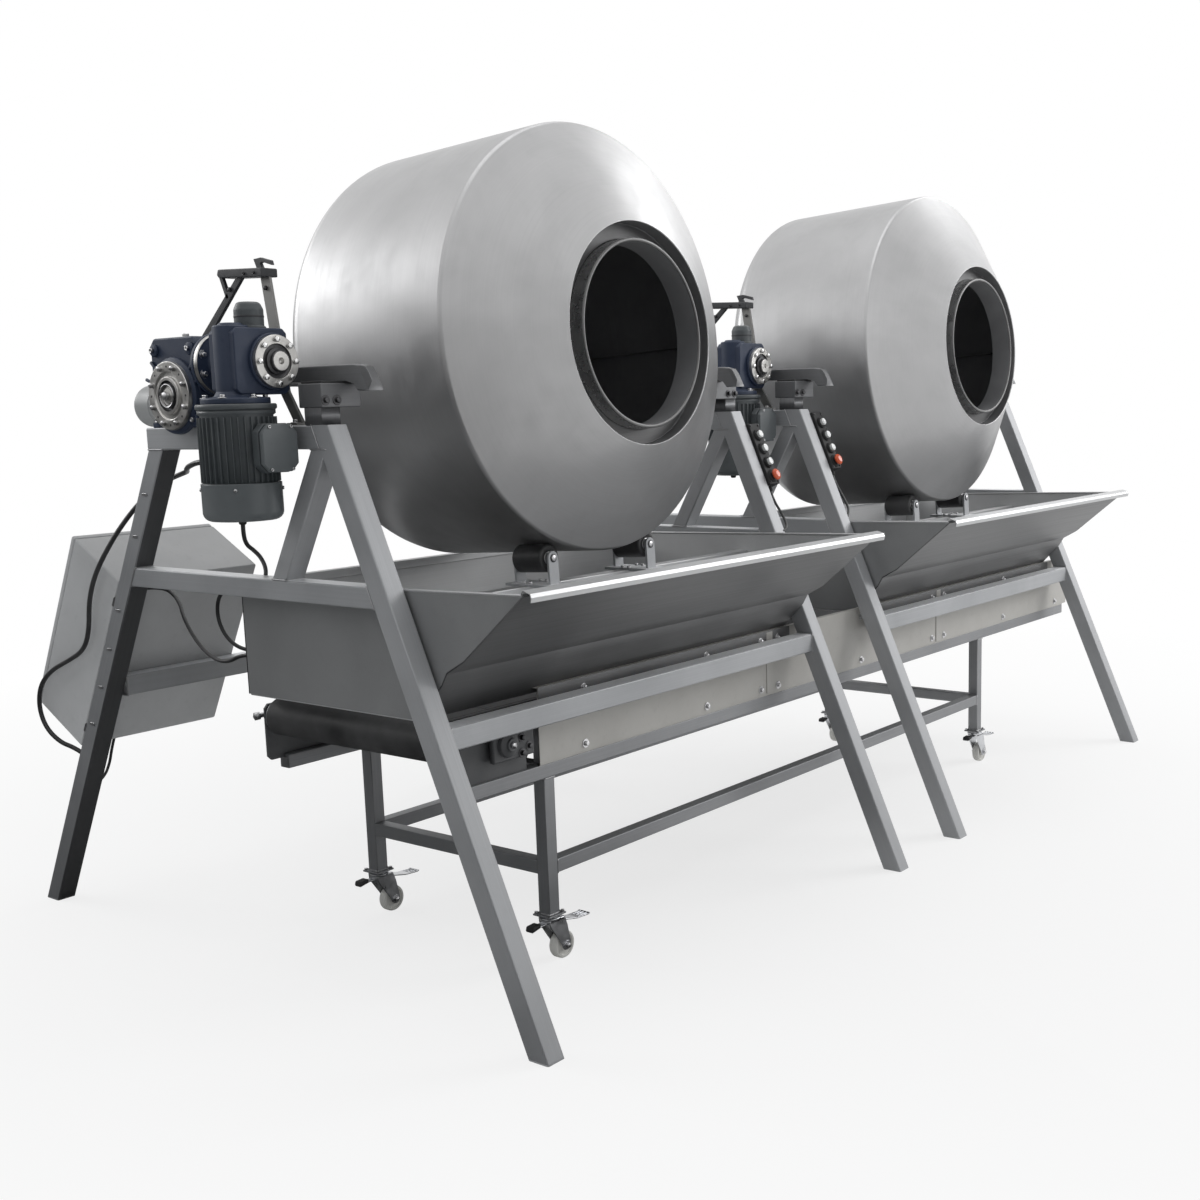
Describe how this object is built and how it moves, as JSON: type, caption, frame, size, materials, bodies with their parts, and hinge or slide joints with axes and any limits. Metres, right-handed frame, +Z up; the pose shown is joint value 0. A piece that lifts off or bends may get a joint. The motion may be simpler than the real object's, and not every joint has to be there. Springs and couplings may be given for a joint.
{
  "type": "dragee coating pan",
  "caption": "Twin tilting coating drums on A-frame stands with worm tilt drives, hoppers below and a shared belt conveyor on castors.",
  "frame": {"origin": "middle of the machine's footprint on the floor", "axes": "+X along the line toward the conveyor's delivery end, the drum mouths face -Y, +Z up"},
  "size_m": [4.263, 2.203, 2.3191],
  "materials": {
    "frame_steel": "satin",
    "pan_steel": "brushed, bright",
    "hopper_steel": "satin, darkened",
    "gear_paint": "semi-gloss",
    "motor_paint": "semi-gloss",
    "bracket_paint": "satin",
    "bearing_iron": "satin",
    "panel_paint": "satin",
    "belt_rubber": "matt",
    "roller_steel": "satin",
    "rest_rubber": "matt",
    "castor_zinc": "bright zinc",
    "wheel_nylon": "smooth",
    "box_black": "fine grain",
    "button_pale": "gloss",
    "stop_red": "gloss",
    "cabinet_paint": "powder coat",
    "cable_black": "satin"
  },
  "bodies": {
    "base": {"stand_frame_a": "frame_steel", "hopper_a": "hopper_steel", "tilt_gearbox_a": "gear_paint", "first_gearbox_a": "gear_paint", "tilt_motor_a": "motor_paint", "shaft_bearing_a": "bearing_iron", "switch_bracket_a": "bracket_paint", "control_box_a": "box_black", "stand_frame_b": "frame_steel", "hopper_b": "hopper_steel", "tilt_gearbox_b": "gear_paint", "first_gearbox_b": "gear_paint", "tilt_motor_b": "motor_paint", "shaft_bearing_b": "bearing_iron", "switch_bracket_b": "bracket_paint", "control_box_b": "box_black", "conveyor_frame": "frame_steel", "side_panel_front": "panel_paint", "side_panel_rear": "panel_paint", "conveyor_belt": "belt_rubber", "cabinet": "cabinet_paint", "supply_cable": "cable_black", "droop_cable": "cable_black", "motor_cable": "cable_black", "panel_cable_a": "cable_black", "panel_cable_b": "cable_black", "cabinet_cable_1": "cable_black", "cabinet_cable_2": "cable_black"},
    "cradle_a": {"tilt_cradle_a": "frame_steel", "pan_gearmotor_a": "motor_paint"},
    "pan_a": {"pan_shell_a": "pan_steel", "mouth_collar_a": "pan_steel"},
    "roller_left_a": {"rest_roller_left_a": "rest_rubber"},
    "roller_right_a": {"rest_roller_right_a": "rest_rubber"},
    "stop_button_a": {"stop_button_a": "stop_red"},
    "push_button_1_a": {"push_button_1_a": "button_pale"},
    "push_button_2_a": {"push_button_2_a": "button_pale"},
    "push_button_3_a": {"push_button_3_a": "button_pale"},
    "cradle_b": {"tilt_cradle_b": "frame_steel", "pan_gearmotor_b": "motor_paint"},
    "pan_b": {"pan_shell_b": "pan_steel", "mouth_collar_b": "pan_steel"},
    "roller_left_b": {"rest_roller_left_b": "rest_rubber"},
    "roller_right_b": {"rest_roller_right_b": "rest_rubber"},
    "stop_button_b": {"stop_button_b": "stop_red"},
    "push_button_1_b": {"push_button_1_b": "button_pale"},
    "push_button_2_b": {"push_button_2_b": "button_pale"},
    "push_button_3_b": {"push_button_3_b": "button_pale"},
    "drive_pulley": {"drive_roller": "roller_steel"},
    "tail_pulley": {"tail_roller": "roller_steel"},
    "castor_1": {"castor_fork_1": "castor_zinc"},
    "wheel_1": {"castor_wheel_1": "wheel_nylon"},
    "castor_2": {"castor_fork_2": "castor_zinc"},
    "wheel_2": {"castor_wheel_2": "wheel_nylon"},
    "castor_3": {"castor_fork_3": "castor_zinc"},
    "wheel_3": {"castor_wheel_3": "wheel_nylon"},
    "castor_4": {"castor_fork_4": "castor_zinc"},
    "wheel_4": {"castor_wheel_4": "wheel_nylon"}
  },
  "joints": [
    {"name": "tilt_a", "type": "hinge", "parent": "base", "child": "cradle_a", "pos_m": [-1.0435, 0.0405, 1.587], "axis": [-1, 0, 0], "range_deg": [0, 45]},
    {"name": "pan_spin_a", "type": "hinge", "parent": "cradle_a", "child": "pan_a", "pos_m": [-1.0435, -0.5665, 1.72], "axis": [0, 0.9984, -0.0558], "continuous": true},
    {"name": "roller_left_spin_a", "type": "hinge", "parent": "base", "child": "roller_left_a", "pos_m": [-1.26291, -0.60015, 1.11813], "axis": [0, 0.9984, -0.0558], "continuous": true},
    {"name": "roller_right_spin_a", "type": "hinge", "parent": "base", "child": "roller_right_a", "pos_m": [-0.82409, -0.60015, 1.11813], "axis": [0, 0.9984, -0.0558], "continuous": true},
    {"name": "press_stop_button_a", "type": "slide", "parent": "base", "child": "stop_button_a", "axis": [0, 0.9189, -0.3944], "range_m": [0, 0.0035], "stiffness_N_per_m": 300, "springref_m": -0.002},
    {"name": "press_push_button_1_a", "type": "slide", "parent": "base", "child": "push_button_1_a", "axis": [0, 0.9189, -0.3944], "range_m": [0, 0.0035], "stiffness_N_per_m": 300, "springref_m": -0.002},
    {"name": "press_push_button_2_a", "type": "slide", "parent": "base", "child": "push_button_2_a", "axis": [0, 0.9189, -0.3944], "range_m": [0, 0.0035], "stiffness_N_per_m": 300, "springref_m": -0.002},
    {"name": "press_push_button_3_a", "type": "slide", "parent": "base", "child": "push_button_3_a", "axis": [0, 0.9189, -0.3944], "range_m": [0, 0.0035], "stiffness_N_per_m": 300, "springref_m": -0.002},
    {"name": "tilt_b", "type": "hinge", "parent": "base", "child": "cradle_b", "pos_m": [1.0965, 0.0405, 1.587], "axis": [-1, 0, 0], "range_deg": [0, 45]},
    {"name": "pan_spin_b", "type": "hinge", "parent": "cradle_b", "child": "pan_b", "pos_m": [1.0965, -0.5665, 1.72], "axis": [0, 0.9984, -0.0558], "continuous": true},
    {"name": "roller_left_spin_b", "type": "hinge", "parent": "base", "child": "roller_left_b", "pos_m": [0.87709, -0.60015, 1.11813], "axis": [0, 0.9984, -0.0558], "continuous": true},
    {"name": "roller_right_spin_b", "type": "hinge", "parent": "base", "child": "roller_right_b", "pos_m": [1.31591, -0.60015, 1.11813], "axis": [0, 0.9984, -0.0558], "continuous": true},
    {"name": "press_stop_button_b", "type": "slide", "parent": "base", "child": "stop_button_b", "axis": [0, 0.9189, -0.3944], "range_m": [0, 0.0035], "stiffness_N_per_m": 300, "springref_m": -0.002},
    {"name": "press_push_button_1_b", "type": "slide", "parent": "base", "child": "push_button_1_b", "axis": [0, 0.9189, -0.3944], "range_m": [0, 0.0035], "stiffness_N_per_m": 300, "springref_m": -0.002},
    {"name": "press_push_button_2_b", "type": "slide", "parent": "base", "child": "push_button_2_b", "axis": [0, 0.9189, -0.3944], "range_m": [0, 0.0035], "stiffness_N_per_m": 300, "springref_m": -0.002},
    {"name": "press_push_button_3_b", "type": "slide", "parent": "base", "child": "push_button_3_b", "axis": [0, 0.9189, -0.3944], "range_m": [0, 0.0035], "stiffness_N_per_m": 300, "springref_m": -0.002},
    {"name": "drive_roller_spin", "type": "hinge", "parent": "base", "child": "drive_pulley", "pos_m": [2.0665, -0.3065, 0.694], "axis": [0, 1, 0], "continuous": true},
    {"name": "tail_roller_spin", "type": "hinge", "parent": "base", "child": "tail_pulley", "pos_m": [-1.7705, -0.3065, 0.694], "axis": [0, 1, 0], "continuous": true},
    {"name": "castor_swivel_1", "type": "hinge", "parent": "base", "child": "castor_1", "pos_m": [-1.4325, -0.6616, 0.14], "axis": [0, 0, 1], "continuous": true},
    {"name": "wheel_spin_1", "type": "hinge", "parent": "castor_1", "child": "wheel_1", "pos_m": [-1.3875, -0.6616, 0.04], "axis": [0, 1, 0], "continuous": true},
    {"name": "castor_swivel_2", "type": "hinge", "parent": "base", "child": "castor_2", "pos_m": [-1.4325, 0.0484, 0.14], "axis": [0, 0, 1], "continuous": true},
    {"name": "wheel_spin_2", "type": "hinge", "parent": "castor_2", "child": "wheel_2", "pos_m": [-1.3875, 0.0484, 0.04], "axis": [0, 1, 0], "continuous": true},
    {"name": "castor_swivel_3", "type": "hinge", "parent": "base", "child": "castor_3", "pos_m": [1.2315, -0.6616, 0.14], "axis": [0, 0, 1], "continuous": true},
    {"name": "wheel_spin_3", "type": "hinge", "parent": "castor_3", "child": "wheel_3", "pos_m": [1.2765, -0.6616, 0.04], "axis": [0, 1, 0], "continuous": true},
    {"name": "castor_swivel_4", "type": "hinge", "parent": "base", "child": "castor_4", "pos_m": [1.2315, 0.0484, 0.14], "axis": [0, 0, 1], "continuous": true},
    {"name": "wheel_spin_4", "type": "hinge", "parent": "castor_4", "child": "wheel_4", "pos_m": [1.2765, 0.0484, 0.04], "axis": [0, 1, 0], "continuous": true}
  ],
  "couplings": [
    {"joint": "tail_roller_spin", "follows": "drive_roller_spin", "ratio": 1}
  ]
}
